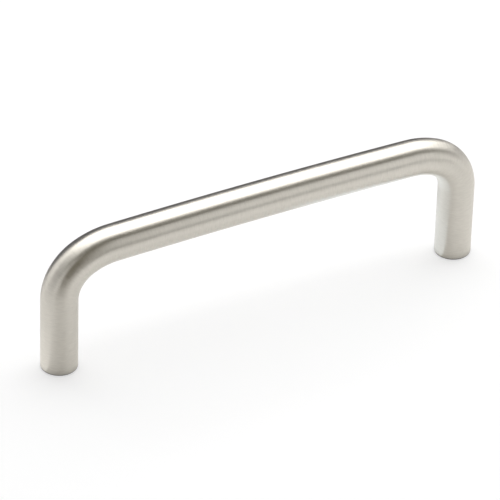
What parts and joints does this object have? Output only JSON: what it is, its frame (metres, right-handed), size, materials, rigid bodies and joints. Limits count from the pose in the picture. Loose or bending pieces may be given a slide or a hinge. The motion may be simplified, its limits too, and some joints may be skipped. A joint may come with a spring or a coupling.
{
  "type": "wire pull",
  "caption": "Round steel bar bent into a low bridge with a gently crowned grip, tapped up each leg for screws that come from behind a door or drawer front.",
  "frame": {"origin": "midway between the two feet, on the plane of the furniture front that they are screwed against", "axes": "+X along the grip from foot to foot, +Y across the bar, +Z away from the furniture"},
  "size_m": [0.104, 0.008, 0.032],
  "materials": {
    "satin_steel": "satin, with fine brush lines round the bar"
  },
  "bodies": {
    "root": {"pull_bar": "satin_steel"}
  },
  "joints": []
}
